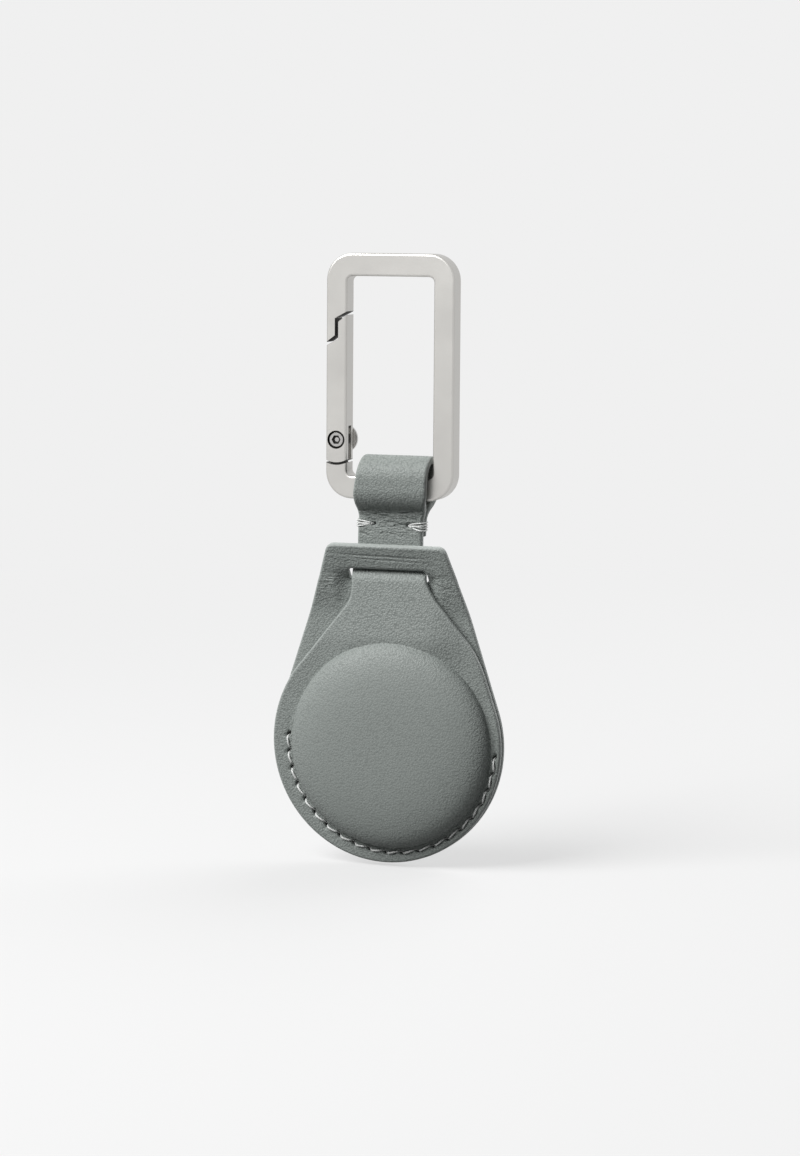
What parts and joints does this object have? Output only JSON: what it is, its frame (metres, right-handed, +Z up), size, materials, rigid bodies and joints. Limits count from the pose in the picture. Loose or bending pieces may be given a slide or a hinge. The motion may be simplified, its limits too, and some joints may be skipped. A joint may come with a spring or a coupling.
{
  "type": "tracker tag holder",
  "caption": "Leather pouch with a moulded round pocket for a tracker tag, its strap threaded through a slotted flap and sewn round the bar of a rectangular carabiner with a sprung gate.",
  "frame": {"origin": "middle of the underside of the carabiner's top bar, where the part hangs from what it is clipped to", "axes": "+Z up along the holder, +X to the right seen from the front, +Y from the moulded front to the back"},
  "size_m": [0.0424, 0.0117, 0.1073],
  "materials": {
    "satin_metal": "fine blasted satin",
    "pin_metal": "turned and polished",
    "spring_steel": "drawn wire",
    "leather": "smooth full grain, painted edges",
    "thread": "waxed twisted polyester"
  },
  "bodies": {
    "carabiner": {"carabiner_frame": "satin_metal"},
    "gate": {"gate": "satin_metal", "pivot_barrel": "pin_metal", "pivot_screw": "pin_metal", "gate_spring": "spring_steel"},
    "plunger": {"gate_plunger": "spring_steel"},
    "pouch": {"front_leather": "leather", "rear_leather": "leather", "seam_top_thread": "thread", "seam_bobbin_thread": "thread", "tack_thread_left": "thread", "tack_thread_right": "thread"}
  },
  "joints": [
    {"name": "gate_hinge", "type": "hinge", "parent": "carabiner", "child": "gate", "pos_m": [-0.0099, 0, -0.0287], "axis": [0, 1, 0], "range_deg": [0, 35], "stiffness_Nm_per_rad": 0.02, "springref_deg": -17.19},
    {"name": "plunger_slide", "type": "slide", "parent": "gate", "child": "plunger", "axis": [0, 0, 1], "range_m": [0, 0.0006], "deforming": ["gate_spring"]},
    {"name": "strap_swing", "type": "hinge", "parent": "carabiner", "child": "pouch", "pos_m": [0, 0, -0.037], "axis": [1, 0, 0], "range_deg": [-120, 120]}
  ],
  "couplings": [
    {"joint": "plunger_slide", "follows": "gate_hinge", "m_per_rad": 0.0009822}
  ]
}
